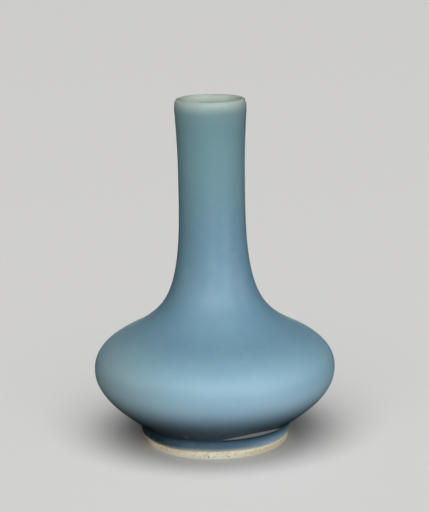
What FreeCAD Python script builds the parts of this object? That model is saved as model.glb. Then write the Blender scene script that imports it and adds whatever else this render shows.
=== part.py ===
import FreeCAD, Part
import os
import Sketcher

# Bottle vase: a squat round belly under a tall neck, in porcelain with a sky blue glaze.
#
# It is built as the potter builds it. The lower body with its foot ring, the upper body and the
# neck are thrown by themselves and luted together with slip at the belly and at the base of the
# neck. Glaze then coats the outside, the inside and the underside, and the foot's rim stays bare.
#
# Millimetres. +Z is up. The origin is on the vase's axis, in the plane that the foot stands on.
# Every piece is turned about +Z from one closed section, drawn in the plane of X and Z.

# Driving dimensions. Radii and heights down the outside are those of the glazed surface.
# A slope is in degrees from straight down, positive where the outline leans outward going down.
SIZES = {
    # lip and mouth
    "height": 165.0,
    "mouth_radius": 16.9,
    "mouth_drop": 5.0,
    "lip_wall": 2.9,
    "lip_round": 2.4,
    "throat_length": 9.0,
    # neck
    "waist_radius": 15.74,
    "waist_drop": 38.0,
    "waist_wall": 2.5,
    "neck_base_radius": 22.8,
    "neck_base_rise": 15.6,
    "neck_base_slope": 29.0,
    "neck_base_wall": 2.8,
    # body
    "shoulder_radius": 41.1,
    "shoulder_rise": 18.6,
    "shoulder_slope": 62.4,
    "shoulder_wall": 3.0,
    "belly_radius": 57.9,
    "belly_height": 35.5,
    "belly_wall": 3.2,
    "underside_slope": 49.0,
    "junction_outset": 0.85,
    "junction_rise": 1.75,
    "junction_wall": 4.3,
    # foot, in bare clay
    "foot_radius": 34.95,
    "foot_height": 8.0,
    "foot_flare": 1.25,
    "foot_ring": 4.35,
    "foot_bevel": 0.15,
    "tread_inset": 0.15,
    "recess_depth": 6.5,
    "recess_flare": 1.3,
    "recess_round": 1.4,
    "base_thickness": 4.4,
    # luted joints
    "slip": 0.5,
    "bead_height": 3.6,
    "bead_depth": 0.9,
    # glaze coats
    "glaze": 0.35,
    "lining": 0.25,
    "glaze_line": 4.3,
    "glaze_edge": 0.45,
    "base_glaze": 0.3,
    "base_glaze_line": 2.6,
}

# How far each curve's handles reach, as shares of the drop from the curve's upper end to its
# lower end. Those whose name has "reach" are shares of the way across instead.
HANDLE_SHARES = {
    "crest_reach_share": 0.95,
    "mouth_share": 0.456,
    "crest_inner_reach_share": 0.6,
    "lip_inner_share": 0.55,
    "flare_upper_share": 0.06,
    "flare_lower_share": 0.57,
    "throat_share": 0.4,
    "neck_upper_share": 0.31,
    "neck_lower_share": 0.273,
    "sweep_upper_share": 0.635,
    "sweep_lower_share": 0.384,
    "shoulder_upper_share": 0.565,
    "shoulder_lower_share": 0.485,
    "under_upper_share": 0.46,
    "under_lower_share": 0.381,
    "floor_outer_reach_share": 0.1,
    "floor_inner_reach_share": 0.45,
    "fillet_share": 0.3,
    "pool_share": 0.17,
    "round_share": 0.55,
    "bead_share": 0.3,
    "crest_share": 0.53,
}

doc = FreeCAD.newDocument("BottleVase")
sheet = doc.addObject("Spreadsheet::Sheet", "Sizes")
for row, (alias, value) in enumerate({**SIZES, **HANDLE_SHARES}.items(), start=1):
    sheet.set(f"A{row}", alias)
    sheet.set(f"B{row}", str(value))
    sheet.setAlias(f"B{row}", alias)
doc.recompute()


def size(alias):
    """The sheet's cell of that name, as an expression."""
    return f"Sizes.{alias}"


# A point is a pair of expressions, its radius and its height.

def along(point, slope, length):
    """The point that lies length further down an outline with that slope."""
    r, z = point
    return f"({r} + ({length}) * sin({slope}))", f"({z} - ({length}) * cos({slope}))"


def beneath(point, slope, depth):
    """The point that lies depth under the surface at point."""
    r, z = point
    return f"({r} - ({depth}) * cos({slope}))", f"({z} - ({depth}) * sin({slope}))"


def curve(upper, upper_slope, upper_reach, lower, lower_slope, lower_reach):
    """The four poles of a cubic curve down from upper to lower, tangent to the slope at each end."""
    return [
        upper,
        along(upper, upper_slope, upper_reach),
        along(lower, lower_slope, f"-({lower_reach})"),
        lower,
    ]


def back(poles):
    return poles[::-1]


STRAIGHT = "0 deg"
LEVEL = "90 deg"
WAIST_HEIGHT = f"({size('height')} - {size('waist_drop')})"
SHOULDER_HEIGHT = f"({size('belly_height')} + {size('shoulder_rise')})"
FOOT_TOP_RADIUS = f"({size('foot_radius')} + {size('foot_flare')})"

# The points that give the glazed outline its shape: radius, height, slope, wall of clay beneath.
KEYS = {
    "waist": (size("waist_radius"), WAIST_HEIGHT, STRAIGHT, size("waist_wall")),
    "neck_base": (
        size("neck_base_radius"),
        f"({SHOULDER_HEIGHT} + {size('neck_base_rise')})",
        f"{size('neck_base_slope')} * 1 deg",
        size("neck_base_wall"),
    ),
    "shoulder": (
        size("shoulder_radius"),
        SHOULDER_HEIGHT,
        f"{size('shoulder_slope')} * 1 deg",
        size("shoulder_wall"),
    ),
    "belly": (size("belly_radius"), size("belly_height"), STRAIGHT, size("belly_wall")),
    "junction": (
        f"({FOOT_TOP_RADIUS} + {size('glaze')} + {size('junction_outset')})",
        f"({size('foot_height')} + {size('junction_rise')})",
        f"-{size('underside_slope')} * 1 deg",
        size("junction_wall"),
    ),
}

# The four surfaces, from the outside in: glazed, clay, hollow and lined.
GLAZED, CLAY, HOLLOW, LINED = "glazed", "clay", "hollow", "lined"


def depth_of(surface, wall):
    """How deep a surface lies under the glazed one, where the clay is as thick as wall."""
    return {
        GLAZED: "0",
        CLAY: size("glaze"),
        HOLLOW: f"({size('glaze')} + {wall})",
        LINED: f"({size('glaze')} + {wall} + {size('lining')})",
    }[surface]


def key_point(key, surface, step="0"):
    """A key point on a surface, moved down the outline by step."""
    r, z, slope, wall = KEYS[key]
    return along(beneath((r, z), slope, depth_of(surface, wall)), slope, step)


def seam_half(surface):
    """Half the straight stretch at a luted joint: the slip outside, the bead of slip inside."""
    return f"{size('slip')} / 2" if surface in (GLAZED, CLAY) else f"{size('bead_height')} / 2"


def key_curve(upper_key, lower_key, surface, name, upper_step="0", lower_step="0"):
    """The curve of a surface between two key points, with the handles that belong to name."""
    upper = key_point(upper_key, surface, upper_step)
    lower = key_point(lower_key, surface, lower_step)
    drop = f"({upper[1]} - {lower[1]})"
    return curve(
        upper,
        KEYS[upper_key][2],
        f"{size(name + '_upper_share')} * {drop}",
        lower,
        KEYS[lower_key][2],
        f"{size(name + '_lower_share')} * {drop}",
    )


def neck_curve(surface):
    return key_curve("waist", "neck_base", surface, "neck", lower_step=f"-({seam_half(surface)})")


def sweep_curve(surface):
    return key_curve("neck_base", "shoulder", surface, "sweep", upper_step=seam_half(surface))


def shoulder_curve(surface):
    return key_curve("shoulder", "belly", surface, "shoulder", lower_step=f"-({seam_half(surface)})")


def under_curve(surface):
    return key_curve("belly", "junction", surface, "under", upper_step=seam_half(surface))


def seam_bead(key, surface):
    """The bead of slip that the joint squeezed out on the inside, down across the straight stretch."""
    slope = KEYS[key][2]
    half = seam_half(surface)
    upper = key_point(key, surface, f"-({half})")
    lower = key_point(key, surface, half)
    inset = f"{size('bead_share')} * {size('bead_height')}"
    return [
        upper,
        beneath(along(upper, slope, inset), slope, size("bead_depth")),
        beneath(along(lower, slope, f"-({inset})"), slope, size("bead_depth")),
        lower,
    ]


# Lip and mouth. The crest is the top of the lip, and the bore is the glazed inside of the mouth.
LIP_BORE = f"({size('mouth_radius')} - {size('glaze')} - {size('lip_wall')} - {size('lining')})"
CREST_RADIUS = f"({LIP_BORE} + {size('crest_share')} * ({size('mouth_radius')} - {LIP_BORE}))"
MOUTH_HEIGHT = f"({size('height')} - {size('mouth_drop')})"
THROAT_TOP = f"({size('height')} - {size('lip_round')})"
THROAT_BOTTOM = f"({THROAT_TOP} - {size('throat_length')})"


def crest(surface):
    """The top of the lip, of the glaze or of the clay."""
    top = size("height") if surface in (GLAZED, LINED) else f"({size('height')} - {size('glaze')})"
    return CREST_RADIUS, top


def mouth(surface):
    """The widest point of the lip, where the white lip glaze ends and the blue glaze starts."""
    return f"({size('mouth_radius')} - {depth_of(surface, '0')})", MOUTH_HEIGHT


def bore(surface):
    return LIP_BORE if surface == LINED else f"({LIP_BORE} + {size('lining')})"


def lip_curve(surface):
    """From the crest out and down to the widest point of the lip."""
    upper, lower = crest(surface), mouth(surface)
    reach = f"{size('crest_reach_share')} * ({lower[0]} - {upper[0]})"
    drop = f"{size('mouth_share')} * ({upper[1]} - {lower[1]})"
    return curve(upper, LEVEL, reach, lower, STRAIGHT, drop)


def inner_lip_curve(surface):
    """From the crest in and down to the straight throat."""
    upper, lower = crest(surface), (bore(surface), THROAT_TOP)
    reach = f"-{size('crest_inner_reach_share')} * ({upper[0]} - {lower[0]})"
    drop = f"{size('lip_inner_share')} * ({upper[1]} - {lower[1]})"
    return curve(upper, LEVEL, reach, lower, STRAIGHT, drop)


def flare_curve(surface):
    """Outside, from the widest point of the lip down to the neck's waist."""
    upper, lower = mouth(surface), key_point("waist", surface)
    drop = f"({upper[1]} - {lower[1]})"
    return curve(
        upper,
        STRAIGHT,
        f"{size('flare_upper_share')} * {drop}",
        lower,
        STRAIGHT,
        f"{size('flare_lower_share')} * {drop}",
    )


def inner_flare_curve(surface):
    """Inside, from the foot of the straight throat down to the neck's waist."""
    upper, lower = (bore(surface), THROAT_BOTTOM), key_point("waist", surface)
    drop = f"({size('throat_share')} * ({upper[1]} - {lower[1]}))"
    return curve(upper, STRAIGHT, drop, lower, STRAIGHT, drop)


def throat_line(surface):
    return [(bore(surface), THROAT_TOP), (bore(surface), THROAT_BOTTOM)]


# Foot. Its outer wall leans in towards the floor, and its recess widens towards the floor.

def floor_curve(surface):
    """The vessel's inner floor, from above the foot to the axis."""
    outer = key_point("junction", surface)
    lining = size("lining") if surface == LINED else "0"
    centre = "0", f"({size('recess_depth')} + {size('base_thickness')} + {lining})"
    slope = KEYS["junction"][2]
    return [
        outer,
        along(outer, slope, f"{size('floor_outer_reach_share')} * {outer[0]}"),
        (f"{size('floor_inner_reach_share')} * {outer[0]}", centre[1]),
        centre,
    ]


def foot_wall(height, cover="0"):
    """The point of the foot's outer wall at a height, with glaze as thick as cover on it."""
    r = f"({size('foot_radius')} + {size('foot_flare')} * {height} / {size('foot_height')} + {cover})"
    return r, height


def fillet_curve(surface):
    """Where the belly's underside turns down into the foot. The glaze pools in it."""
    share, cover = {
        GLAZED: (size("pool_share"), size("glaze")),
        CLAY: (size("fillet_share"), "0"),
    }[surface]
    upper = key_point("junction", surface)
    lower = foot_wall(size("foot_height"), cover)
    reach = f"({share} * ({size('junction_outset')} + {size('junction_rise')}))"
    up_r = f"({lower[0]} + {reach} * {size('foot_flare')} / {size('foot_height')})"
    return [
        upper,
        along(upper, KEYS["junction"][2], reach),
        (up_r, f"({lower[1]} + {reach})"),
        lower,
    ]


def recess_wall(height, cover="0"):
    """The point of the recess's wall at a height, with glaze as thick as cover on it."""
    rise = f"({size('recess_depth')} - {height}) / {size('recess_depth')}"
    ceiling = f"{size('foot_radius')} - {size('foot_ring')}"
    return f"({ceiling} + {size('recess_flare')} * {rise} - {cover})", height


def recess_round(cover="0"):
    """The rounded corner between the recess's ceiling and its wall, from the ceiling down."""
    ceiling = f"({size('recess_depth')} - {cover})"
    corner = recess_wall(ceiling, cover)
    upper = f"({corner[0]} - {size('recess_round')})", ceiling
    lower = recess_wall(f"({ceiling} - {size('recess_round')})", cover)
    reach = f"{size('round_share')} * {size('recess_round')}"
    return [
        upper,
        (f"({upper[0]} + {reach})", ceiling),
        (lower[0], f"({lower[1]} + {reach})"),
        lower,
    ]


TREAD_OUTER = f"({size('foot_radius')} - {size('tread_inset')})", "0"
TREAD_INNER = f"({recess_wall(size('foot_bevel'))[0]} + {size('tread_inset')})", "0"


def draw_section(sketch, section):
    """Draw a closed section, a list of lines and curves end to end, and hold it by its sizes."""

    def value(expression):
        return float(sheet.evalExpression(expression))

    constraints = []
    expressions = {}

    def fix(geometry, position, point):
        """Hold a point of the sketch at its two expressions."""
        for kind, axis, expression in (("DistanceX", -2, point[0]), ("DistanceY", -1, point[1])):
            if expression == "0":
                constraints.append(Sketcher.Constraint("PointOnObject", geometry, position, axis))
                continue
            expressions[len(constraints)] = expression
            held = Sketcher.Constraint(kind, -1, 1, geometry, position, value(expression))
            constraints.append(held)

    ends = []
    for stretch in section:
        poles = [FreeCAD.Vector(value(r), value(z), 0) for r, z in stretch]
        if len(poles) == 2:
            edge = sketch.addGeometry(Part.LineSegment(*poles), False)
        else:
            degree = len(poles) - 1
            spline = Part.BSplineCurve(poles, None, None, False, degree, None, False)
            edge = sketch.addGeometry(spline, False)
            first_pole = sketch.GeometryCount
            sketch.exposeInternalGeometry(edge)
            for inner in range(1, degree):
                fix(first_pole + inner, 3, stretch[inner])
        fix(edge, 1, stretch[0])
        ends.append(edge)
    for edge, following in zip(ends, ends[1:] + ends[:1]):
        constraints.append(Sketcher.Constraint("Coincident", edge, 2, following, 1))
    first = sketch.ConstraintCount
    sketch.addConstraint(constraints)
    for place, expression in expressions.items():
        sketch.setExpression(f"Constraints[{first + place}]", expression)


def turned_piece(label, *sections):
    """A body turned about +Z, from one closed section or from several that join face to face."""
    body = doc.addObject("PartDesign::Body", label)
    body.Label = label
    plane = next(f for f in body.Origin.OriginFeatures if f.Role == "XZ_Plane")
    for section in sections:
        sketch = body.newObject("Sketcher::SketchObject", f"{label}_section")
        sketch.AttachmentSupport = [(plane, "")]
        sketch.MapMode = "FlatFace"
        draw_section(sketch, section)
        turned = body.newObject("PartDesign::Revolution", f"{label}_turned")
        turned.Profile = sketch
        turned.ReferenceAxis = (sketch, ["V_Axis"])
        turned.Angle = 360
        body.Tip = turned


def seam_wall(key, side):
    """The face of clay at a luted joint, from the outside in, and on to the end of the bead.

    side is -1 above the joint and 1 below it.
    """
    slip_half = f"{side} * {size('slip')} / 2"
    bead_half = f"{side} * {size('bead_height')} / 2"
    outer = key_point(key, CLAY, slip_half)
    inner = key_point(key, HOLLOW, slip_half)
    return [[outer, inner], [inner, key_point(key, HOLLOW, bead_half)]]


def seam_line(key, surface):
    """The straight stretch of an outer surface across a luted joint, going down."""
    half = seam_half(surface)
    return [key_point(key, surface, f"-({half})"), key_point(key, surface, half)]


def turned_back(stretches):
    return [back(stretch) for stretch in reversed(stretches)]


# The thrown pieces of clay.

neck_outside = [lip_curve(CLAY), flare_curve(CLAY), neck_curve(CLAY)]
neck_inside = [
    inner_lip_curve(HOLLOW),
    throat_line(HOLLOW),
    inner_flare_curve(HOLLOW),
    neck_curve(HOLLOW),
]
turned_piece("neck", neck_outside + seam_wall("neck_base", -1) + turned_back(neck_inside))

turned_piece(
    "upper_body",
    [sweep_curve(CLAY), shoulder_curve(CLAY)]
    + seam_wall("belly", -1)
    + turned_back([sweep_curve(HOLLOW), shoulder_curve(HOLLOW)])
    + turned_back(seam_wall("neck_base", 1)),
)

ceiling_centre = "0", size("recess_depth")
turned_piece(
    "lower_body",
    [
        under_curve(CLAY),
        fillet_curve(CLAY),
        [foot_wall(size("foot_height")), foot_wall(size("foot_bevel"))],
        [foot_wall(size("foot_bevel")), TREAD_OUTER],
        [TREAD_OUTER, TREAD_INNER],
        [TREAD_INNER, recess_wall(size("foot_bevel"))],
        [recess_wall(size("foot_bevel")), recess_round()[3]],
        back(recess_round()),
        [recess_round()[0], ceiling_centre],
        [ceiling_centre, floor_curve(HOLLOW)[3]],
        back(floor_curve(HOLLOW)),
        back(under_curve(HOLLOW)),
    ]
    + turned_back(seam_wall("belly", 1)),
)

# The slip that lutes them together. It is wiped flush outside and leaves a bead inside.

for label, key in (("neck_luting_slip", "neck_base"), ("belly_luting_slip", "belly")):
    turned_piece(
        label,
        [seam_line(key, CLAY)]
        + seam_wall(key, 1)
        + [back(seam_bead(key, HOLLOW))]
        + turned_back(seam_wall(key, -1)),
    )

# The coats of glaze. Each is turned in the stretches of the pieces of clay that it covers.


def coat(over, under):
    """The section between two runs of curves that cover the same stretch, going down."""
    lower_end = [over[-1][-1], under[-1][-1]]
    upper_end = [under[0][0], over[0][0]]
    return [*over, lower_end, *turned_back(under), upper_end]


def neck_outer(surface):
    return [flare_curve(surface), neck_curve(surface), seam_line("neck_base", surface)]


def body_outer(surface):
    return [sweep_curve(surface), shoulder_curve(surface), seam_line("belly", surface)]


def foot_outer(surface, cover, glaze_end):
    foot_top = foot_wall(size("foot_height"), cover)
    return [under_curve(surface), fillet_curve(surface), [foot_top, glaze_end]]


def lip_inner(surface):
    return [inner_lip_curve(surface), throat_line(surface), inner_flare_curve(surface)]


def neck_inner(surface):
    return [neck_curve(surface), seam_bead("neck_base", surface)]


def body_inner(surface):
    return [sweep_curve(surface), shoulder_curve(surface), seam_bead("belly", surface)]


def floor_inner(surface):
    return [under_curve(surface), floor_curve(surface)]


glaze_end = foot_wall(size("glaze_line"))
glaze_bulge = foot_wall(f"({size('glaze_line')} + {size('glaze_edge')})", size("glaze"))
turned_piece(
    "outer_glaze",
    coat(neck_outer(GLAZED), neck_outer(CLAY)),
    coat(body_outer(GLAZED), body_outer(CLAY)),
    coat(foot_outer(GLAZED, size("glaze"), glaze_bulge), foot_outer(CLAY, "0", glaze_end)),
)

turned_piece(
    "lining_glaze",
    coat([back(lip_curve(GLAZED)), *lip_inner(LINED)], [back(lip_curve(CLAY)), *lip_inner(HOLLOW)]),
    coat(neck_inner(LINED), neck_inner(HOLLOW)),
    coat(body_inner(LINED), body_inner(HOLLOW)),
    coat(floor_inner(LINED), floor_inner(HOLLOW)),
)

base_cover = size("base_glaze")
base_edge_outer = recess_wall(size("base_glaze_line"))
base_edge_inner = recess_wall(f"({size('base_glaze_line')} + {size('glaze_edge')})", base_cover)
glazed_ceiling_centre = "0", f"({size('recess_depth')} - {base_cover})"
turned_piece(
    "base_glaze",
    [
        [ceiling_centre, recess_round()[0]],
        recess_round(),
        [recess_round()[3], base_edge_outer],
        [base_edge_outer, base_edge_inner],
        [base_edge_inner, recess_round(base_cover)[3]],
        back(recess_round(base_cover)),
        [recess_round(base_cover)[0], glazed_ceiling_centre],
        [glazed_ceiling_centre, ceiling_centre],
    ],
)

doc.recompute()
for item in doc.Objects:
    if {"Invalid", "Error"} & set(item.State):
        raise RuntimeError(f"{item.Label} failed: {item.State}")
pieces = [item for item in doc.Objects if item.isDerivedFrom("PartDesign::Body")]
for piece in pieces:
    if piece.Shape.isNull() or not piece.Shape.isValid() or len(piece.Shape.Solids) != 1:
        raise RuntimeError(f"{piece.Label} is not one valid solid")

os.makedirs("parts", exist_ok=True)
for piece in pieces:
    piece.Shape.exportStep(f"parts/{piece.Label}.step")
    print(piece.Label, "volume", round(piece.Shape.Volume, 1), "mm3")
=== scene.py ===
"""The looks of the bottle vase: glazed and bare surfaces, a pale floor, soft light and the camera."""

import math
from typing import NamedTuple

import bpy
import numpy as np
from mathutils import Euler, Matrix, Vector


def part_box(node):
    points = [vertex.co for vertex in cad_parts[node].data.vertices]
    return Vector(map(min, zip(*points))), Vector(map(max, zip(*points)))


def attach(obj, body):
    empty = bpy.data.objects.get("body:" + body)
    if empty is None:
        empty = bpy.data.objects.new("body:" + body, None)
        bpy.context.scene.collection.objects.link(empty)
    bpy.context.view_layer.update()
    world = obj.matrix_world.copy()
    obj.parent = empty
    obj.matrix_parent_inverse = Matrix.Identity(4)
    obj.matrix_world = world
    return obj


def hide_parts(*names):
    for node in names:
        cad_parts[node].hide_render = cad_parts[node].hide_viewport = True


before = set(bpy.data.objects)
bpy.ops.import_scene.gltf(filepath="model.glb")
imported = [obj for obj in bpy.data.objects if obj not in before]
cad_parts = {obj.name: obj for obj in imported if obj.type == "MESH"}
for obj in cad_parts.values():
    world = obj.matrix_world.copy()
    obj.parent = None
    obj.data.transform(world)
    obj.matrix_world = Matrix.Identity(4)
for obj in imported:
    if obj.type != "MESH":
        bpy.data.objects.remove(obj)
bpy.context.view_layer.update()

MM = 0.001
TURN = 2 * math.pi

# Sizes that the frame gives
LIP_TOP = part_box("lining_glaze")[1].z
LIP_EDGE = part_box("outer_glaze")[1].z
GLAZE_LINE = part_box("outer_glaze")[0].z
BELLY_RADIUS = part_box("outer_glaze")[1].x
BASE_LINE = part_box("base_glaze")[0].z
RECESS_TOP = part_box("base_glaze")[1].z

# Sizes of the vase that the frame's boxes don't show, as in its source
MOUTH_RADIUS = 16.9 * MM
LIP_WALL = 2.9 * MM
LIP_ROUND = 2.4 * MM
THROAT_LENGTH = 9.0 * MM
WAIST_HEIGHT = LIP_TOP - 38.0 * MM
BELLY_HEIGHT = 35.5 * MM
SHOULDER_HEIGHT = BELLY_HEIGHT + 18.6 * MM
NECK_BASE_HEIGHT = SHOULDER_HEIGHT + 15.6 * MM
FOOT_RADIUS = 34.95 * MM
FOOT_HEIGHT = 8.0 * MM
FOOT_FLARE = 1.25 * MM
FOOT_RING = 4.35 * MM
FOOT_BEVEL = 0.15 * MM
TREAD_INSET = 0.15 * MM
RECESS_FLARE = 1.3 * MM
RECESS_ROUND = 1.4 * MM
BASE_THICKNESS = 4.4 * MM
JUNCTION_OUTSET = 0.85 * MM
JUNCTION_RISE = 1.75 * MM
GLAZE = 0.35 * MM
LINING = 0.25 * MM
BASE_GLAZE = 0.3 * MM
GLAZE_EDGE = 0.45 * MM
SLIP = 0.5 * MM
BEAD_HEIGHT = 3.6 * MM
BEAD_DEPTH = 0.9 * MM

# How finely the pieces are turned
SEGMENTS = 256
CURVE_STEPS = 32
UNDER_STEPS = 80


# Outlines. A point is (radius, height), and a slope is an angle from straight down.

STRAIGHT = 0.0
LEVEL = math.pi / 2


def along(point, slope, length):
    """The point that lies length further down an outline with that slope."""
    return point + length * np.array([math.sin(slope), -math.cos(slope)])


def beneath(point, slope, depth):
    """The point that lies depth under the surface at point."""
    return point - depth * np.array([math.cos(slope), math.sin(slope)])


def bezier(poles, steps=CURVE_STEPS):
    """Points of the cubic curve with those four poles."""
    t = np.linspace(0, 1, steps)[:, None]
    a, b, c, d = (np.array(pole) for pole in poles)
    return (1 - t) ** 3 * a + 3 * (1 - t) ** 2 * t * b + 3 * (1 - t) * t**2 * c + t**3 * d


def curve(upper, upper_slope, upper_reach, lower, lower_slope, lower_reach, steps=CURVE_STEPS):
    """A curve down from upper to lower, tangent to the slope at each end."""
    first = along(upper, upper_slope, upper_reach)
    second = along(lower, lower_slope, -lower_reach)
    return bezier([upper, first, second, lower], steps)


def line(start, end, steps):
    t = np.linspace(0, 1, steps)[:, None]
    return (1 - t) * np.array(start) + t * np.array(end)


def join(*stretches):
    """Stretches end to end as one outline, each shared point once."""
    points = [stretches[0]]
    for stretch in stretches[1:]:
        points.append(stretch[1:])
    return np.concatenate(points)


class KeyPoint(NamedTuple):
    """A point that gives the glazed outline its shape, and the clay's thickness beneath it."""

    radius: float
    height: float
    slope: float
    wall: float


KEYS = {
    "waist": KeyPoint(15.74 * MM, WAIST_HEIGHT, STRAIGHT, 2.5 * MM),
    "neck_base": KeyPoint(22.8 * MM, NECK_BASE_HEIGHT, math.radians(29.0), 2.8 * MM),
    "shoulder": KeyPoint(41.1 * MM, SHOULDER_HEIGHT, math.radians(62.4), 3.0 * MM),
    "belly": KeyPoint(BELLY_RADIUS, BELLY_HEIGHT, STRAIGHT, 3.2 * MM),
    "junction": KeyPoint(
        FOOT_RADIUS + FOOT_FLARE + GLAZE + JUNCTION_OUTSET,
        FOOT_HEIGHT + JUNCTION_RISE,
        -math.radians(49.0),
        4.3 * MM,
    ),
}

# Each curve's handles, as shares of the drop from its upper end to its lower end
HANDLE_SHARES = {
    "flare": (0.06, 0.57),
    "neck": (0.31, 0.273),
    "sweep": (0.635, 0.384),
    "shoulder": (0.565, 0.485),
    "under": (0.46, 0.381),
    "throat": (0.4, 0.4),
}

# How far in the handles of a slip bead's curve stand, as a share of the bead's height
BEAD_SHARE = 0.3

# The surfaces from the outside in: the blue glaze's, the clay's outer and inner ones, the lining's
GLAZED, CLAY, HOLLOW, LINED = "glazed", "clay", "hollow", "lined"


def depth_of(surface, wall):
    """How deep a surface lies under the glazed one, where the clay is as thick as wall."""
    return {GLAZED: 0.0, CLAY: GLAZE, HOLLOW: GLAZE + wall, LINED: GLAZE + wall + LINING}[surface]


def key_point(name, surface, step=0.0):
    """A key point on a surface, moved down the outline by step."""
    key = KEYS[name]
    glazed = np.array([key.radius, key.height])
    return along(beneath(glazed, key.slope, depth_of(surface, key.wall)), key.slope, step)


def seam_half(surface):
    """How far a luted seam reaches up and down: its slip outside, and the slip's bead inside."""
    return SLIP / 2 if surface in (GLAZED, CLAY) else BEAD_HEIGHT / 2


def key_curve(upper_key, lower_key, surface, name, upper_step=0.0, lower_step=0.0, steps=CURVE_STEPS):
    """The curve of a surface between two key points."""
    upper = key_point(upper_key, surface, upper_step)
    lower = key_point(lower_key, surface, lower_step)
    upper_reach, lower_reach = (share * (upper[1] - lower[1]) for share in HANDLE_SHARES[name])
    return curve(upper, KEYS[upper_key].slope, upper_reach, lower, KEYS[lower_key].slope, lower_reach, steps)


def body_curves(surface):
    """The curves of a surface from the neck's waist down to the foot's junction."""
    half = seam_half(surface)
    return [
        key_curve("waist", "neck_base", surface, "neck", lower_step=-half),
        seam(surface, "neck_base"),
        key_curve("neck_base", "shoulder", surface, "sweep", upper_step=half),
        key_curve("shoulder", "belly", surface, "shoulder", lower_step=-half),
        seam(surface, "belly"),
        key_curve("belly", "junction", surface, "under", upper_step=half, steps=UNDER_STEPS),
    ]


def seam(surface, name):
    """The surface across a luted joint: straight outside, and a bead of slip inside."""
    slope = KEYS[name].slope
    half = seam_half(surface)
    upper, lower = key_point(name, surface, -half), key_point(name, surface, half)
    if surface in (GLAZED, CLAY):
        return line(upper, lower, steps=2)
    inset = BEAD_SHARE * BEAD_HEIGHT
    first = beneath(along(upper, slope, inset), slope, BEAD_DEPTH)
    second = beneath(along(lower, slope, -inset), slope, BEAD_DEPTH)
    return bezier([upper, first, second, lower], steps=14)


# Lip and mouth. The crest stands at a share of the way from the bore to the widest point, and
# the handles beside it reach shares of the way across or down.

CREST_SHARE = 0.53
CREST_REACH_SHARE = 0.95
MOUTH_SHARE = 0.456
CREST_INNER_REACH_SHARE = 0.6
LIP_INNER_SHARE = 0.55
LIP_BORE = MOUTH_RADIUS - GLAZE - LIP_WALL - LINING
CREST_RADIUS = LIP_BORE + CREST_SHARE * (MOUTH_RADIUS - LIP_BORE)
THROAT_TOP = LIP_TOP - LIP_ROUND
THROAT_BOTTOM = THROAT_TOP - THROAT_LENGTH


def crest(surface):
    """The highest point of the lip."""
    top = LIP_TOP if surface in (GLAZED, LINED) else LIP_TOP - GLAZE
    return np.array([CREST_RADIUS, top])


def mouth(surface):
    """The widest point of the lip, where the blue glaze meets the lining."""
    return np.array([MOUTH_RADIUS - (0.0 if surface == GLAZED else GLAZE), LIP_EDGE])


def bore(surface):
    """The radius inside the lip."""
    return LIP_BORE if surface == LINED else LIP_BORE + LINING


def lip_curve(surface):
    """From the crest out and down to the widest point of the lip."""
    upper, lower = crest(surface), mouth(surface)
    reach = CREST_REACH_SHARE * (lower[0] - upper[0])
    return curve(upper, LEVEL, reach, lower, STRAIGHT, MOUTH_SHARE * (upper[1] - lower[1]))


def inner_lip_curve(surface):
    """From the crest in and down to the straight throat."""
    upper, lower = crest(surface), np.array([bore(surface), THROAT_TOP])
    reach = -CREST_INNER_REACH_SHARE * (upper[0] - lower[0])
    return curve(upper, LEVEL, reach, lower, STRAIGHT, LIP_INNER_SHARE * (upper[1] - lower[1]))


def flare_curve(surface):
    """Outside, from the widest point of the lip down to the waist."""
    upper, lower = mouth(surface), key_point("waist", surface)
    first, second = (share * (upper[1] - lower[1]) for share in HANDLE_SHARES["flare"])
    return curve(upper, STRAIGHT, first, lower, STRAIGHT, second)


def throat_curves(surface):
    """Inside, the straight throat and the curve below it down to the waist."""
    top, bottom = np.array([bore(surface), THROAT_TOP]), np.array([bore(surface), THROAT_BOTTOM])
    lower = key_point("waist", surface)
    first, second = (share * (bottom[1] - lower[1]) for share in HANDLE_SHARES["throat"])
    return [line(top, bottom, steps=8), curve(bottom, STRAIGHT, first, lower, STRAIGHT, second)]


# Foot and recess. The shares tell how far the handles of their curves reach.

FLOOR_REACH_SHARES = (0.1, 0.45)
CLAY_FILLET_SHARE = 0.3
POOL_SHARE = 0.17
ROUND_SHARE = 0.55


def floor_curve(surface):
    """The inner floor, from above the foot to the axis."""
    outer = key_point("junction", surface)
    top = RECESS_TOP + BASE_THICKNESS + (LINING if surface == LINED else 0.0)
    first_share, second_share = FLOOR_REACH_SHARES
    first = along(outer, KEYS["junction"].slope, first_share * outer[0])
    return bezier([outer, first, (second_share * outer[0], top), (0.0, top)])


def foot_wall(height, cover=0.0):
    """The point of the foot's outer wall at that height, under a coat as thick as cover."""
    return np.array([FOOT_RADIUS + FOOT_FLARE * height / FOOT_HEIGHT + cover, height])


def fillet_curve(surface):
    """Where the belly's underside turns down into the foot."""
    share, cover = (POOL_SHARE, GLAZE) if surface == GLAZED else (CLAY_FILLET_SHARE, 0.0)
    upper, lower = key_point("junction", surface), foot_wall(FOOT_HEIGHT, cover)
    reach = share * (JUNCTION_OUTSET + JUNCTION_RISE)
    first = along(upper, KEYS["junction"].slope, reach)
    second = lower + reach * np.array([FOOT_FLARE / FOOT_HEIGHT, 1.0])
    return bezier([upper, first, second, lower], steps=18)


def recess_wall(height, cover=0.0):
    """The point of the recess's wall at that height, under a coat as thick as cover."""
    rise = (RECESS_TOP - height) / RECESS_TOP
    return np.array([FOOT_RADIUS - FOOT_RING + RECESS_FLARE * rise - cover, height])


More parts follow.
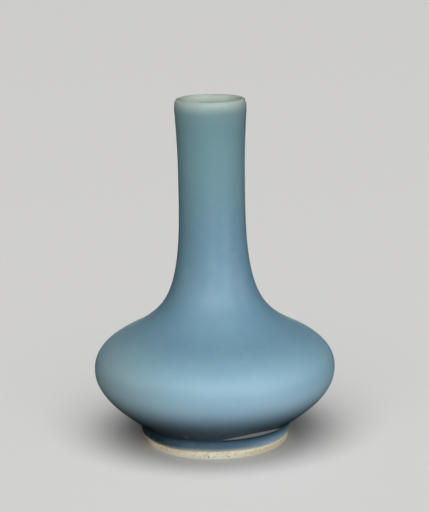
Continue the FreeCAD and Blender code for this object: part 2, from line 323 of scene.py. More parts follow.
def recess_round(cover=0.0):
    """The rounded corner between the recess's ceiling and its wall, from the ceiling down."""
    ceiling = RECESS_TOP - cover
    upper = np.array([recess_wall(ceiling, cover)[0] - RECESS_ROUND, ceiling])
    lower = recess_wall(ceiling - RECESS_ROUND, cover)
    reach = ROUND_SHARE * RECESS_ROUND
    return bezier([upper, upper + [reach, 0.0], lower + [0.0, reach], lower], steps=12)


# Turning an outline into a piece

ON_AXIS = 1e-9
SHARP_ANGLE = math.radians(38)


def turned(name, outline, change=None):
    """A closed piece turned about +Z from a closed outline of (radius, height) points.

    change(r, z, angle) gives each point's own radius and height, for what a hand leaves uneven.
    """
    angles = np.arange(SEGMENTS) * TURN / SEGMENTS
    coordinates, rows = [], []
    for r, z in outline:
        start = len(coordinates)
        if r < ON_AXIS:
            coordinates.append((0.0, 0.0, z))
            rows.append(np.full(SEGMENTS, start))
            continue
        radii, heights = np.full(SEGMENTS, r), np.full(SEGMENTS, z)
        if change is not None:
            radii, heights = change(radii, heights, angles)
        coordinates.extend(zip(radii * np.cos(angles), radii * np.sin(angles), heights))
        rows.append(start + np.arange(SEGMENTS))
    faces = []
    for upper, lower in zip(rows, rows[1:] + rows[:1]):
        if upper[0] == upper[1] and lower[0] == lower[1]:
            continue
        for i in range(SEGMENTS):
            j = (i + 1) % SEGMENTS
            ring = [upper[i], lower[i], lower[j], upper[j]]
            faces.append([int(v) for v in dict.fromkeys(ring)])
    mesh = bpy.data.meshes.new(name)
    mesh.from_pydata(coordinates, [], faces)
    mesh.validate()
    mesh.shade_smooth()
    mesh.set_sharp_from_angle(angle=SHARP_ANGLE)
    piece = bpy.data.objects.new(name, mesh)
    bpy.context.scene.collection.objects.link(piece)
    return piece


# What the hand leaves uneven. Directions are angles about +Z from +X, and the photographed side
# faces -Y.

PHOTOGRAPHED_SIDE = math.radians(-90)

# The glaze line waves: the random seed, each wave's number of turns round the vase, and its size
EDGE_SEED = 5
EDGE_TURNS = (3, 5, 8, 13, 21)
EDGE_WAVE = 0.3 * MM
WAVE_SHARES = (0.4, 1.0)

# It also dips to the right and left of the photographed side: direction, half width, depth
EDGE_DIPS = (
    (math.radians(-52), math.radians(34), 0.7 * MM),
    (math.radians(-128), math.radians(26), 0.6 * MM),
)

# Where the thrown wall is a little flatter, or fuller where the depth is negative: direction,
# height, reach up and down, depth
DENTS = (
    (0.0, 50 * MM, 9 * MM, 0.3 * MM),
    (math.pi, 58 * MM, 8 * MM, -0.3 * MM),
    (math.pi, 24 * MM, 5 * MM, 0.25 * MM),
)

# A low ridge left by the turning tool above the foot, to the right of the photographed side.
# Its lower edge is level, and its upper edge rises and falls again.
RIDGE_START = math.radians(-88)
RIDGE_TURN = math.radians(53)
RIDGE_HEIGHT = 10.3 * MM
RIDGE_WIDTH = 3.5 * MM
RIDGE_LEAST_WIDTH = 0.01 * MM
RIDGE_DEPTH = 0.15 * MM

# The rim isn't quite level: it is lowest at the photographed side, by the dip
RIM_DIP = 0.3 * MM
RIM_DIP_START = LIP_TOP - 8.0 * MM


def wrapped(angle):
    """The same angle, between half a turn back and half a turn on."""
    return (angle + math.pi) % TURN - math.pi


def waves(angle, seed, turns, size):
    """A smooth uneven line round the vase: a few waves of those numbers of turns, at most size."""
    random = np.random.default_rng(seed)
    total = np.zeros_like(angle)
    for count in turns:
        total += random.uniform(*WAVE_SHARES) * np.sin(count * angle + random.uniform(0, TURN))
    return size * total / len(turns)


def edge_change(r, z, angle):
    """The glaze's uneven lower edge, with the coat above it on the foot stretched to meet it."""
    edge = GLAZE_LINE + waves(angle, EDGE_SEED, EDGE_TURNS, EDGE_WAVE)
    for direction, width, depth in EDGE_DIPS:
        edge = edge - depth * np.exp(-((wrapped(angle - direction) / width) ** 2))
    stretched = FOOT_HEIGHT - (FOOT_HEIGHT - z) * (FOOT_HEIGHT - edge) / (FOOT_HEIGHT - GLAZE_LINE)
    height = np.where(z < FOOT_HEIGHT, stretched, z)
    return r + (height - z) * FOOT_FLARE / FOOT_HEIGHT, height


def dent_change(r, z, angle):
    for direction, level, reach, depth in DENTS:
        facing = np.maximum(np.cos(angle - direction), 0.0) ** 2
        r = r - depth * facing * np.exp(-(((z - level) / reach) ** 2))
    return r, z


def ridge_change(r, z, angle):
    across = ((angle - RIDGE_START) % TURN) / RIDGE_TURN
    width = RIDGE_WIDTH * np.sin(math.pi * np.clip(across, 0.0, 1.0))
    up = (z - RIDGE_HEIGHT) / np.maximum(width, RIDGE_LEAST_WIDTH)
    return r + RIDGE_DEPTH * width / RIDGE_WIDTH * np.sin(math.pi * np.clip(up, 0.0, 1.0)), z


def rim_change(r, z, angle):
    rise = np.clip((z - RIM_DIP_START) / (LIP_TOP - RIM_DIP_START), 0.0, 1.0)
    return r, z - RIM_DIP * rise * (1 + np.cos(angle - PHOTOGRAPHED_SIDE)) / 2


def outside_change(r, z, angle):
    """All that is uneven on the blue coat."""
    for change in (edge_change, dent_change, ridge_change, rim_change):
        r, z = change(r, z, angle)
    return r, z


# Materials

def colour(red, green, blue):
    """A colour given as it looks on a screen, turned into light."""
    values = [c / 255 for c in (red, green, blue)]
    linear = [c / 12.92 if c <= 0.04045 else ((c + 0.055) / 1.055) ** 2.4 for c in values]
    return (*linear, 1.0)


class Shader:
    """A material's node tree, with short calls for the nodes that the materials share."""

    def __init__(self, name):
        self.material = bpy.data.materials.new(name)
        self.material.use_nodes = True
        self.nodes = self.material.node_tree.nodes
        self.links = self.material.node_tree.links
        self.surface = self.nodes["Principled BSDF"]
        self.place = self.nodes.new("ShaderNodeTexCoord").outputs["Object"]
        split = self.nodes.new("ShaderNodeSeparateXYZ")
        self.links.new(self.place, split.inputs[0])
        self.x, self.y, self.z = split.outputs

    def set(self, socket, value):
        if isinstance(value, bpy.types.NodeSocket):
            self.links.new(value, socket)
        else:
            socket.default_value = value

    def math(self, operation, first, second=0.0, clamp=False):
        node = self.nodes.new("ShaderNodeMath")
        node.operation = operation
        node.use_clamp = clamp
        self.set(node.inputs[0], first)
        self.set(node.inputs[1], second)
        return node.outputs[0]

    def times(self, first, second):
        return self.math("MULTIPLY", first, second)

    def ramp(self, value, low, high, start=0.0, end=1.0):
        """value taken smoothly from start at low to end at high."""
        node = self.nodes.new("ShaderNodeMapRange")
        node.interpolation_type = "SMOOTHSTEP"
        self.set(node.inputs["Value"], value)
        for socket, number in zip(("From Min", "From Max", "To Min", "To Max"), (low, high, start, end)):
            node.inputs[socket].default_value = number
        return node.outputs["Result"]

    def mix(self, share, first, second):
        """The colour first, with that share of the colour second over it."""
        node = self.nodes.new("ShaderNodeMix")
        node.data_type = "RGBA"
        self.set(node.inputs["Factor"], share)
        for socket, value in ((node.inputs[6], first), (node.inputs[7], second)):
            self.set(socket, value)
        return node.outputs[2]

    def noise(self, size, detail=3.0, roughness=0.5, stretch=None):
        """Noise from 0 to 1 whose lumps are about size across."""
        node = self.nodes.new("ShaderNodeTexNoise")
        node.inputs["Scale"].default_value = 1 / size
        node.inputs["Detail"].default_value = detail
        node.inputs["Roughness"].default_value = roughness
        place = self.place
        if stretch is not None:
            scaled = self.nodes.new("ShaderNodeVectorMath")
            scaled.operation = "MULTIPLY"
            self.links.new(self.place, scaled.inputs[0])
            scaled.inputs[1].default_value = stretch
            place = scaled.outputs[0]
        self.links.new(place, node.inputs["Vector"])
        return node.outputs["Fac"]

    def sway(self, noise, reach):
        """A length that noise takes up and down by half of reach."""
        return self.times(self.math("SUBTRACT", noise, 0.5), reach)

    def radius(self):
        """The distance from the vase's axis."""
        squares = [self.math("POWER", side, 2.0) for side in (self.x, self.y)]
        return self.math("SQRT", self.math("ADD", *squares))

    def aside(self):
        """The distance to the left or right of the middle, as photographed."""
        return self.math("ABSOLUTE", self.x)

    def bump(self, *layers):
        """Bumps from (height from 0 to 1, depth in metres, strength) layers."""
        normal = None
        for height, depth, strength in layers:
            node = self.nodes.new("ShaderNodeBump")
            node.inputs["Distance"].default_value = depth
            node.inputs["Strength"].default_value = strength
            self.links.new(height, node.inputs["Height"])
            if normal is not None:
                self.links.new(normal, node.inputs["Normal"])
            normal = node.outputs["Normal"]
        self.links.new(normal, self.surface.inputs["Normal"])

    def finish(self, colour_value, roughness, **sockets):
        """The material. Further sockets are given by name, with _ for a space."""
        self.set(self.surface.inputs["Base Color"], colour_value)
        self.set(self.surface.inputs["Roughness"], roughness)
        for name, value in sockets.items():
            self.surface.inputs[name.replace("_", " ")].default_value = value
        return self.material


# A stretch over which a tone changes is (from, to) or (from, to, value at from, value at to). The
# first two are heights up the vase, or places across it as photographed, where the left is
# negative, or distances from its axis.

# Blue glaze
# The blue by height is partly the glaze's own tone, greener up the neck, and partly painted light: a painted
# highlight on the belly and painted shade on the shoulder
BLUE_UNDER = colour(151, 184, 201)
BLUE_BELLY = colour(134, 172, 189)
BLUE_MIDDLE = colour(112, 149, 169)
BLUE_NECK = colour(142, 177, 183)
BLUE_BANDS = (
    (30 * MM, 40 * MM, BLUE_BELLY),
    (43 * MM, 56 * MM, BLUE_MIDDLE),
    (92 * MM, 152 * MM, BLUE_NECK),
)
# Painted light on the left of the belly and shoulder: paler and greyer there
BLUE_LEFT_LIGHT_TINT = colour(156, 178, 184)
GREYER_ACROSS = (-46 * MM, -12 * MM, 0.4, 0.0)
GREYER_UP = (44 * MM, 62 * MM, 1.0, 0.0)

# Where it pools above the foot, and on the foot. Above the foot it is partly deeper pooled glaze and mostly
# painted shade, darkest towards the sides
BLUE_POOL_SHADE = colour(36, 66, 84)
BLUE_DEEPEST_SHADE = colour(14, 42, 58)
POOL_SHADE_UP = (12 * MM, 30 * MM, 1.0, 0.0)
DEEPEST_SHADE_ASIDE = (8 * MM, 23 * MM)
# The foot's wall, paler where its glaze thins, with painted shade kept on its left and painted light on its
# right
BLUE_FOOT = colour(94, 120, 138)
FOOT_UP = (4.0 * MM, 12.5 * MM, 1.0, 0.0)
FOOT_ACROSS = (-28 * MM, -8 * MM, 0.15, 1.0)
BLUE_FOOT_LIT = colour(138, 172, 194)
FOOT_LIT_UP = (5.2 * MM, 9.0 * MM, 1.0, 0.0)
FOOT_LIT_ACROSS = (10 * MM, 27 * MM)

# Its mottling, and paler patches on the widest part of the belly
BLUE_PALER = colour(172, 197, 204)
BLUE_DEEPER = colour(98, 138, 158)
PATCHES_OUT = (52 * MM, 56 * MM)

# Where it is thin: at the lip and at its lower edge; and a painted highlight on the turned ridge
THIN_GLAZE = colour(220, 230, 222)
THIN_SWAY = 1.4 * MM
THINNER_UP = (150 * MM, 161 * MM, 0.0, 0.14)
THINNEST_UP = (158.0 * MM, 164.8 * MM)
THIN_EDGE = colour(204, 200, 178)
EDGE_SWAY = 1.0 * MM
EDGE_ASIDE = (8 * MM, 24 * MM, 0.0, 0.6 * MM)
EDGE_UP = (3.6 * MM, 6.0 * MM, 1.0, 0.0)
RIDGE_HIGHLIGHT = colour(182, 198, 204)
RIDGE_HIGHLIGHT_WARM = colour(196, 194, 180)

# The painted highlight on the ridge and the painted shade beside it, by the ridge's width and by how far in
# from its border a place lies
RIDGE_ENDS = (0.1 * MM, 0.8 * MM)
RIDGE_RIM = (-0.15 * MM, 0.3 * MM)
RIDGE_SHADE = (-1.3 * MM, -0.5 * MM)

# A painted glint above the foot: angle to the right of the photographed side, height, radius, size
GLINT = colour(196, 202, 206)
GLINT_PLACE = (-19.8, 12.0 * MM, 41.0 * MM, 1.0 * MM)

# Pale glaze inside, with painted shade in the throat below the lip
LINING_WHITE = colour(236, 236, 222)
LINING_SHADE = colour(150, 160, 146)
LINING_CLOUD = colour(176, 188, 176)
LINING_SHADE_UP = (161.2 * MM, 162.0 * MM, 0.6, 0.0)
LINING_OUT = (15.2 * MM, 16.4 * MM)

# Clear glaze under the foot
CLEAR = colour(214, 216, 204)
CLEAR_CLOUD = colour(200, 204, 196)
CLEAR_POOLED = colour(178, 192, 190)
CLEAR_POOLED_OUT = (25 * MM, 30 * MM, 0.0, 0.6)

# Bare clay of the foot
CLAY_PALE = colour(248, 240, 214)
CLAY_SANDY = colour(218, 204, 168)
CLAY_TAN = colour(204, 172, 128)
CLAY_DULLER = colour(204, 190, 150)
DULLER_ACROSS = (2 * MM, 22 * MM)
DULLER_UP = (1.6 * MM, 3.0 * MM, 0.75, 0.2)
CLAY_WHITER = colour(228, 226, 216)
WHITER_UP = (0.7 * MM, 1.9 * MM, 0.7, 0.0)
WHITER_ACROSS = (4 * MM, 22 * MM, 1.0, 0.3)
# Painted shade at the left end of the foot
CLAY_SHADE_LEFT = colour(136, 126, 104)
SHADE_LEFT_ACROSS = (-35.5 * MM, -28.3 * MM, 0.7, 0.0)
IRON = colour(138, 112, 78)
IRON_DARK = colour(70, 54, 36)

# Dark iron spots: angle to the right of the photographed side, height, size
IRON_SPOTS = (
    (-17.2, 1.5 * MM, 0.42 * MM),
    (-12.5, 1.0 * MM, 0.36 * MM),
    (-6.0, 1.2 * MM, 0.46 * MM),
    (-6.0, 1.8 * MM, 0.36 * MM),
    (9.5, 1.3 * MM, 0.44 * MM),
    (22.8, 2.2 * MM, 0.36 * MM),
)

# Clay and slip between the coats
COVERED_CLAY = colour(222, 214, 194)
COVERED_SLIP = colour(226, 219, 202)
COVERED_CLOUD = colour(206, 198, 176)


def blue_by_height(shader):
    """The blue of each band, with a painted highlight on the belly and painted shade on the shoulder, and
    painted light that makes the left of the belly and shoulder paler and greyer.
    """
    blue = BLUE_UNDER
    for low, high, band in BLUE_BANDS:
        blue = shader.mix(shader.ramp(shader.z, low, high), blue, band)
    # Painted light: paler and greyer on the left
    greyer = shader.times(shader.ramp(shader.x, *GREYER_ACROSS), shader.ramp(shader.z, *GREYER_UP))
    return shader.mix(greyer, blue, BLUE_LEFT_LIGHT_TINT)


def pool_and_shade_blue(shader, blue):
    """The blue deeper above the foot, partly pooled glaze and mostly painted shade, darkest at the sides;
    lighter on the foot's wall, with painted shade on its left and painted light on its right.
    """
    pool_shade = shader.mix(shader.ramp(shader.aside(), *DEEPEST_SHADE_ASIDE), BLUE_POOL_SHADE, BLUE_DEEPEST_SHADE)
    blue = shader.mix(shader.ramp(shader.z, *POOL_SHADE_UP), blue, pool_shade)
    foot = shader.times(shader.ramp(shader.z, *FOOT_UP), shader.ramp(shader.x, *FOOT_ACROSS))
    foot_lit = shader.times(shader.ramp(shader.x, *FOOT_LIT_ACROSS), shader.ramp(shader.z, *FOOT_LIT_UP))
    return shader.mix(foot, blue, shader.mix(foot_lit, BLUE_FOOT, BLUE_FOOT_LIT))


def mottled_blue(shader, blue):
    mottle = shader.noise(5 * MM, 4.0, 0.6)
    blue = shader.mix(shader.ramp(mottle, 0.35, 0.7, end=0.06), blue, BLUE_PALER)
    pale_patches = shader.ramp(shader.noise(3.2 * MM, 2.0, 0.4), 0.62, 0.72, end=0.16)
    pale_patches = shader.times(pale_patches, shader.ramp(shader.radius(), *PATCHES_OUT))
    blue = shader.mix(pale_patches, blue, BLUE_PALER)
    cloud = shader.noise(26 * MM, 2.0)
    return shader.mix(shader.ramp(cloud, 0.35, 0.65, end=0.08), blue, BLUE_DEEPER)


def blue_over_thin(shader):
    """The glaze's colour, partly by its thickness: thin and pale at the lip, blue below, and deep above the
    foot, where it is partly pooled and mostly painted shade.
    """
    blue = mottled_blue(shader, pool_and_shade_blue(shader, blue_by_height(shader)))
    height = shader.math("ADD", shader.z, shader.sway(shader.noise(9 * MM, 2.0), THIN_SWAY))
    blue = shader.mix(shader.ramp(height, *THINNER_UP), blue, THIN_GLAZE)
    return shader.mix(shader.ramp(height, *THINNEST_UP), blue, THIN_GLAZE)


def ridge_masks(shader):
    """1 on the turned ridge above the foot, where a highlight is painted, and 1 just outside it, where shade
    is painted.
    """
    angle = shader.math("SUBTRACT", shader.math("ARCTAN2", shader.y, shader.x), RIDGE_START)
    across = shader.math("DIVIDE", angle, RIDGE_TURN, clamp=True)
    width = shader.times(shader.math("SINE", shader.times(across, math.pi)), RIDGE_WIDTH)
    up = shader.math("SUBTRACT", shader.z, RIDGE_HEIGHT)
    inside = shader.math("MINIMUM", up, shader.math("SUBTRACT", width, up))
    there = shader.ramp(width, *RIDGE_ENDS)
    on = shader.times(shader.ramp(inside, *RIDGE_RIM), there)
    near = shader.times(shader.ramp(inside, *RIDGE_SHADE), there)
    return on, near


def spot_mask(shader, angle, height, radius, size):
    """1 on one round spot and 0 off it. The angle is in degrees to the right, as photographed."""
    a = math.radians(angle)
    node = shader.nodes.new("ShaderNodeVectorMath")
    node.operation = "DISTANCE"
    shader.links.new(shader.place, node.inputs[0])
    node.inputs[1].default_value = (radius * math.sin(a), -radius * math.cos(a), height)
    return shader.ramp(node.outputs["Value"], 0.5 * size, size, 1.0, 0.0)


def speck_mask(shader, size, low, high):
    """Scattered specks: 1 at the heart of a speck and 0 between them."""
    node = shader.nodes.new("ShaderNodeTexVoronoi")
    node.inputs["Scale"].default_value = 1 / size
    shader.links.new(shader.place, node.inputs["Vector"])
    return shader.ramp(node.outputs["Distance"], low, high, 1.0, 0.0)


def blue_glaze():
    shader = Shader("blue_glaze")
    tone = blue_over_thin(shader)
    ridge, shade_beside_ridge = ridge_masks(shader)
    # Painted shade just beside the ridge, and a painted highlight on it
    tone = shader.mix(shader.times(shade_beside_ridge, 0.75), tone, BLUE_DEEPEST_SHADE)
    painted_highlight_tone = shader.mix(shader.noise(2.5 * MM, 2.0), RIDGE_HIGHLIGHT, RIDGE_HIGHLIGHT_WARM)
    tone = shader.mix(shader.times(ridge, 0.95), tone, painted_highlight_tone)
    # A painted glint above the foot
    tone = shader.mix(spot_mask(shader, *GLINT_PLACE), tone, GLINT)
    height = shader.math("ADD", shader.z, shader.sway(shader.noise(2.2 * MM), EDGE_SWAY))
    height = shader.math("ADD", height, shader.ramp(shader.aside(), *EDGE_ASIDE))
    edge = shader.ramp(height, *EDGE_UP)
    tone = shader.mix(shader.times(edge, 0.9), tone, THIN_EDGE)
    roughness = shader.ramp(shader.noise(3 * MM, 4.0), 0.3, 0.7, start=0.36, end=0.44)
    shader.bump((shader.noise(1.1 * MM, 2.0), 0.02 * MM, 0.3), (shader.noise(14 * MM, 2.0), 0.2 * MM, 0.25))
    return shader.finish(tone, roughness, IOR=1.5)


def white_glaze():
    """Pale inside, with painted shade in the throat, and over the lip as blue as the coat that it meets
    there.
    """
    shader = Shader("white_glaze")
    # Painted shade in the throat, below the lip
    inside = shader.mix(shader.ramp(shader.z, *LINING_SHADE_UP), LINING_WHITE, LINING_SHADE)
    outer = shader.ramp(shader.radius(), *LINING_OUT)
    tone = shader.mix(outer, inside, blue_over_thin(shader))
    tone = shader.mix(shader.ramp(shader.noise(6 * MM), 0.4, 0.7, end=0.12), tone, LINING_CLOUD)
    roughness = shader.ramp(shader.noise(3 * MM, 4.0), 0.3, 0.7, start=0.34, end=0.42)
    shader.bump((shader.noise(1.1 * MM, 2.0), 0.02 * MM, 0.35))
    return shader.finish(tone, roughness, IOR=1.5)


def clear_glaze():
    shader = Shader("clear_glaze")
    tone = shader.mix(shader.ramp(shader.noise(7 * MM), 0.35, 0.7), CLEAR, CLEAR_CLOUD)
    tone = shader.mix(shader.ramp(shader.radius(), *CLEAR_POOLED_OUT), tone, CLEAR_POOLED)
    shader.bump((shader.noise(1.2 * MM, 2.0), 0.02 * MM, 0.35))
    return shader.finish(tone, 0.22, IOR=1.5, Coat_Weight=0.3, Coat_Roughness=0.1, Coat_IOR=1.5)


def biscuit():
    """Bare fired clay, sandy and speckled, duller on the right, with painted shade at the left end."""
    shader = Shader("porcelain_biscuit")
    sandy = shader.ramp(shader.noise(1.6 * MM, 5.0, 0.65), 0.4, 0.72)
    tone = shader.mix(sandy, CLAY_PALE, CLAY_SANDY)
    tan = shader.noise(9 * MM, 3.0, 0.6, stretch=(1.0, 1.0, 0.4))
    tone = shader.mix(shader.ramp(tan, 0.55, 0.75, end=0.35), tone, CLAY_TAN)
    duller = shader.times(shader.ramp(shader.x, *DULLER_ACROSS), shader.ramp(shader.z, *DULLER_UP))
    tone = shader.mix(duller, tone, CLAY_DULLER)
    whiter = shader.times(shader.ramp(shader.z, *WHITER_UP), shader.ramp(shader.x, *WHITER_ACROSS))
    tone = shader.mix(whiter, tone, CLAY_WHITER)
    # Painted shade at the left end
    tone = shader.mix(shader.ramp(shader.x, *SHADE_LEFT_ACROSS), tone, CLAY_SHADE_LEFT)
    sparse = shader.ramp(shader.noise(3.0 * MM, 1.0), 0.5, 0.6)
    iron = shader.times(speck_mask(shader, 1.3 * MM, 0.06, 0.17), sparse)
    tone = shader.mix(iron, tone, IRON)
    for angle, height, size in IRON_SPOTS:
        tone = shader.mix(spot_mask(shader, angle, height, FOOT_RADIUS, size), tone, IRON_DARK)
    grain = shader.noise(0.35 * MM, 4.0, 0.7)
    shader.bump((grain, 0.05 * MM, 0.5), (shader.noise(2.2 * MM), 0.12 * MM, 0.5))
    return shader.finish(tone, shader.ramp(grain, 0.3, 0.7, start=0.68, end=0.85), IOR=1.45)


def covered(name, tint):
    """The clay and slip between the coats, for when the pieces are looked at apart."""
    shader = Shader(name)
    tone = shader.mix(shader.ramp(shader.noise(4 * MM, 4.0), 0.35, 0.7), tint, COVERED_CLOUD)
    shader.bump((shader.noise(0.5 * MM, 4.0, 0.7), 0.04 * MM, 0.5))
    return shader.finish(tone, 0.75, IOR=1.45)


# The pieces

EDGE_ROUND_SHARE = 0.6


def dress(piece, node, material):
    """A piece that stands for a CAD node and its material."""
    piece.data.materials.append(material)
    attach(piece, "root")
    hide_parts(node)
    return piece


def outside_outline(surface, cover, end):
    """A surface's outline from the lip's widest point down to end, on the foot's wall."""
    foot = line(foot_wall(FOOT_HEIGHT, cover), end, steps=8)
    return join(flare_curve(surface), *body_curves(surface), fillet_curve(surface), foot)


def make_outer_glaze():
    end = foot_wall(GLAZE_LINE)
    bulge = foot_wall(GLAZE_LINE + GLAZE_EDGE, GLAZE)
    drop, inset = EDGE_ROUND_SHARE * GLAZE_EDGE, EDGE_ROUND_SHARE * GLAZE
    edge = bezier([bulge, bulge - [0.0, drop], end + [inset, 0.0], end], steps=8)
    outer, inner = outside_outline(GLAZED, GLAZE, bulge), outside_outline(CLAY, 0.0, end)
    coat = turned("outer_glaze_coat", np.concatenate([outer, edge[1:-1], inner[::-1]]), outside_change)
    return dress(coat, "outer_glaze", blue_glaze())


def inside_outline(outside, surface):
    """An outline from the lip's widest point, outside, over the lip and down inside to the axis."""
    lip = join(lip_curve(outside)[::-1], inner_lip_curve(surface))
    return join(lip, *throat_curves(surface), *body_curves(surface), floor_curve(surface))


def make_lining():
    outer, inner = inside_outline(GLAZED, LINED), inside_outline(CLAY, HOLLOW)
    coat = turned("lining_glaze_coat", np.concatenate([outer, inner[::-1]]), rim_change)
    return dress(coat, "lining_glaze", white_glaze())


def rounded(upper, lower):
    """The edge of the foot, rounded by wear, from upright at upper to level at lower."""
    drop = ROUND_SHARE * (upper[1] - lower[1])
    inset = ROUND_SHARE * (upper[0] - lower[0])
    return bezier([upper, upper - [0.0, drop], lower + [inset, 0.0], lower], steps=6)


def make_lower_body():
    half, bead_half = SLIP / 2, BEAD_HEIGHT / 2
    bevel, recess_bevel = foot_wall(FOOT_BEVEL), recess_wall(FOOT_BEVEL)
    tread_outer = np.array([FOOT_RADIUS - TREAD_INSET, 0.0])
    tread_inner = np.array([recess_bevel[0] + TREAD_INSET, 0.0])
    corner = recess_round()
    outside = join(
        key_curve("belly", "junction", CLAY, "under", upper_step=half),
        fillet_curve(CLAY),
        line(foot_wall(FOOT_HEIGHT), bevel, steps=16),
        rounded(bevel, tread_outer),
        line(tread_outer, tread_inner, steps=8),
        rounded(recess_bevel, tread_inner)[::-1],
        line(recess_bevel, corner[-1], steps=8),
        corner[::-1],
        line(corner[0], (0.0, RECESS_TOP), steps=12),
    )
    inside = join(
        floor_curve(HOLLOW)[::-1],
        key_curve("belly", "junction", HOLLOW, "under", upper_step=bead_half)[::-1],
        line(key_point("belly", HOLLOW, bead_half), key_point("belly", HOLLOW, half), steps=3),
        line(key_point("belly", HOLLOW, half), key_point("belly", CLAY, half), steps=4),
    )
    outline = np.concatenate([outside, inside[:-1]])
    return dress(turned("lower_body_clay", outline), "lower_body", biscuit())


def make_base_glaze():
    corner, cover = recess_round(), recess_round(BASE_GLAZE)
    edge_outer = recess_wall(BASE_LINE)
    edge_inner = recess_wall(BASE_LINE + GLAZE_EDGE, BASE_GLAZE)
    against_clay = join(
        line((0.0, RECESS_TOP), corner[0], steps=12),
        corner,
        line(corner[-1], edge_outer, steps=5),
    )
    open_side = join(
        line(edge_inner, cover[-1], steps=5),
        cover[::-1],
        line(cover[0], (0.0, RECESS_TOP - BASE_GLAZE), steps=12),
    )
    coat = turned("base_glaze_coat", np.concatenate([against_clay, open_side]))
    return dress(coat, "base_glaze", clear_glaze())


def dress_covered(material, *nodes):
    """The solids that no side shows, with their material."""
    for node in nodes:
        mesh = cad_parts[node].data
        mesh.materials.clear()
        mesh.materials.append(material)


make_outer_glaze()
make_lining()
make_lower_body()
make_base_glaze()
dress_covered(covered("porcelain_clay", COVERED_CLAY), "neck", "upper_body")
dress_covered(covered("luting_slip", COVERED_SLIP), "neck_luting_slip", "belly_luting_slip")


# Floor, light and camera. Lengths here are metres.

WHITE = (1.0, 1.0, 1.0)
BLACK = colour(0, 0, 0)
FLOOR_COLOUR = colour(222, 221, 218)
FLOOR_REACH = 14.0
BACKDROP_COLOUR = colour(206, 206, 204)
BACKDROP_RADIUS = 8.0
BACKDROP_THICKNESS = 0.1
BACKDROP_HEIGHT = 4.0
WORLD_COLOUR = (0.041, 0.043, 0.053, 1.0)

# Far lights: azimuth, elevation and width in degrees, strength, tint
FLOOR_LIGHT = (0, 62, 70, 3.0, WHITE)
TOP_LIGHT = (0, 80, 60, 0.402, (0.93, 1.0, 0.97))
FAR_DISTANCE = 2.0

# Softboxes: azimuth and elevation in degrees, distance, size, spread in degrees, the height they
# look at, strength in watts, tint
SOFTBOXES = (
    # The belly from the front, first from above and then from low down
    (0, 35, 0.45, (0.4, 0.15), 60, 0.03, 0.081, (0.9, 0.97, 1.0)),
    (-40, 35, 0.45, (0.3, 0.15), 60, 0.03, 0.0355, (1.0, 0.88, 0.74)),
    (40, 35, 0.45, (0.3, 0.15), 60, 0.03, 0.041, (1.0, 0.9, 0.91)),
    (0, 6, 0.35, (0.3, 0.1), 40, 0.03, 0.0306, (0.97, 0.97, 1.0)),
    (42, 6, 0.35, (0.3, 0.1), 40, 0.03, 0.0354, (0.96, 0.97, 1.0)),
    (-42, 6, 0.35, (0.3, 0.1), 40, 0.03, 0.008, (1.0, 0.7, 0.45)),
    # The sides
    (80, 15, 0.6, (0.25, 0.15), 50, 0.03, 0.030, (1.0, 0.8, 0.57)),
    (-80, 15, 0.6, (0.25, 0.15), 50, 0.03, 0.018, (1.0, 0.86, 0.6)),
    # The neck from the front
    (0, 25, 0.5, (0.4, 0.2), 45, 0.12, 0.0355, (0.71, 0.95, 1.0)),
    (-35, 18, 0.5, (0.2, 0.1), 45, 0.14, 0.0105, (0.4, 0.85, 1.0)),
    (35, 18, 0.5, (0.2, 0.1), 45, 0.14, 0.0225, (0.62, 0.94, 1.0)),
    # The back
    (180, 32, 0.5, (0.12, 0.1), 25, 0.01, 0.03, WHITE),
    (180, 6, 0.35, (0.15, 0.1), 40, 0.03, 0.03, WHITE),
    (180, 0, 0.5, (0.15, 0.1), 35, 0.09, 0.027, WHITE),
)


def make_floor():
    """A pale floor that throws no light back on the vase."""
    mesh = bpy.data.meshes.new("floor")
    corners = [(FLOOR_REACH * x, FLOOR_REACH * y, 0.0) for x, y in ((-1, -1), (1, -1), (1, 1), (-1, 1))]
    mesh.from_pydata(corners, [], [(0, 1, 2, 3)])
    floor = bpy.data.objects.new("floor", mesh)
    bpy.context.scene.collection.objects.link(floor)
    mesh.materials.append(Shader("pale_floor").finish(FLOOR_COLOUR, 0.85, IOR=1.4))
    floor.visible_diffuse = False
    floor.visible_glossy = False
    return floor


def make_backdrop():
    """A pale wall far off on every side, for low views. It neither lights nor shades anything."""
    inner, outer = BACKDROP_RADIUS, BACKDROP_RADIUS + BACKDROP_THICKNESS
    outline = [(inner, 0.0), (inner, BACKDROP_HEIGHT), (outer, BACKDROP_HEIGHT), (outer, 0.0)]
    wall = turned("backdrop", np.array(outline))
    shader = Shader("pale_backdrop")
    shader.finish(BLACK, 1.0, IOR=1.0, Emission_Color=BACKDROP_COLOUR, Emission_Strength=1.0)
    shader.material.cycles.emission_sampling = "NONE"
    wall.data.materials.append(shader.material)
    wall.visible_diffuse = False
    wall.visible_glossy = False
    wall.visible_shadow = False


def place_light(data, azimuth, elevation, distance, aim, receivers):
    """A light object that looks at a height on the axis and lights receivers.

    Azimuth 0 is the camera's side, and positive is its right.
    """
    a, e = math.radians(azimuth), math.radians(elevation)
    back = Vector((math.sin(a) * math.cos(e), -math.cos(a) * math.cos(e), math.sin(e)))
    lamp = bpy.data.objects.new(data.name, data)
    bpy.context.scene.collection.objects.link(lamp)
    lamp.location = Vector((0.0, 0.0, aim)) + back * distance
    lamp.rotation_euler = back.to_track_quat("Z", "Y").to_euler()
    lamp.visible_camera = False
    lamp.light_linking.receiver_collection = receivers


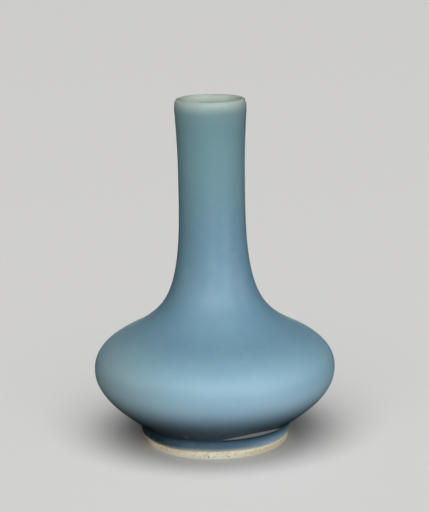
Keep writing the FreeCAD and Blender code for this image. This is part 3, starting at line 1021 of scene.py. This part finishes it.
def far_light(azimuth, elevation, width, strength, tint, receivers):
    """A far soft light as wide as that angle."""
    data = bpy.data.lights.new("far_light", "SUN")
    data.angle = math.radians(width)
    data.energy = strength
    data.color = tint
    place_light(data, azimuth, elevation, FAR_DISTANCE, 0.0, receivers)


def softbox(azimuth, elevation, distance, size, spread, aim, strength, tint, receivers):
    """A softbox of that size that looks at a height on the vase's axis."""
    data = bpy.data.lights.new("softbox", "AREA")
    data.shape = "RECTANGLE"
    data.size, data.size_y = size
    data.spread = math.radians(spread)
    data.energy = strength
    data.color = tint
    place_light(data, azimuth, elevation, distance, aim, receivers)


def linked(name, piece, state):
    """A collection that holds piece, to be lit alone or to be the one thing left unlit."""
    collection = bpy.data.collections.new(name)
    collection.objects.link(piece)
    collection.collection_objects[0].light_linking.link_state = state
    return collection


floor = make_floor()
make_backdrop()
floor_only = linked("floor_only", floor, "INCLUDE")
vase_only = linked("all_but_floor", floor, "EXCLUDE")
far_light(*FLOOR_LIGHT, floor_only)
far_light(*TOP_LIGHT, vase_only)
for values in SOFTBOXES:
    softbox(*values, vase_only)

world = bpy.data.worlds.new("studio")
bpy.context.scene.world = world
world.use_nodes = True
world.node_tree.nodes["Background"].inputs[0].default_value = WORLD_COLOUR
world.cycles_visibility.glossy = False

# The camera stands where the photograph was taken from, rolled a little as it was.
CAMERA_DISTANCE = 709.7 * MM
CAMERA_HEIGHT = 250.9 * MM
CAMERA_PITCH = math.radians(12.81)
CAMERA_TURN = math.radians(0.062)
CAMERA_ROLL = math.radians(1.0)
CAMERA_NEAR = 50 * MM
LENS = 107.4

camera = bpy.data.objects.new("camera", bpy.data.cameras.new("camera"))
camera.data.lens = LENS
camera.data.clip_start = CAMERA_NEAR
aim = Euler((math.pi / 2 - CAMERA_PITCH, 0.0, -CAMERA_TURN)).to_matrix().to_4x4()
camera.matrix_world = (
    Matrix.Translation((0.0, -CAMERA_DISTANCE, CAMERA_HEIGHT)) @ aim @ Matrix.Rotation(-CAMERA_ROLL, 4, "Z")
)
bpy.context.scene.collection.objects.link(camera)
bpy.context.scene.camera = camera
bpy.context.scene.view_settings.view_transform = "Standard"
